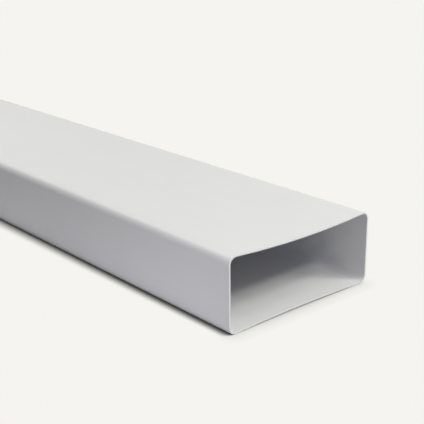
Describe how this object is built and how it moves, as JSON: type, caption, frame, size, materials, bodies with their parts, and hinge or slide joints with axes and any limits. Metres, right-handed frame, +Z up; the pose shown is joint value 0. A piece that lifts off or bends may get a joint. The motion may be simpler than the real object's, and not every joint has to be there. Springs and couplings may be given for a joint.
{
  "type": "flat channel duct",
  "caption": "Straight open-ended length of thin-walled rectangular plastic ventilation duct with rounded edges and inward-bowed wide walls; carries air between matching fittings.",
  "frame": {"origin": "middle of the footprint, at the height of the floor the duct lies on", "axes": "+X across the width, +Y along the extrusion (the open end in the picture is at -Y), +Z up"},
  "size_m": [0.22, 1, 0.09],
  "materials": {
    "white_pvc": "satin"
  },
  "bodies": {
    "root": {"flat_duct": "white_pvc"}
  },
  "joints": []
}
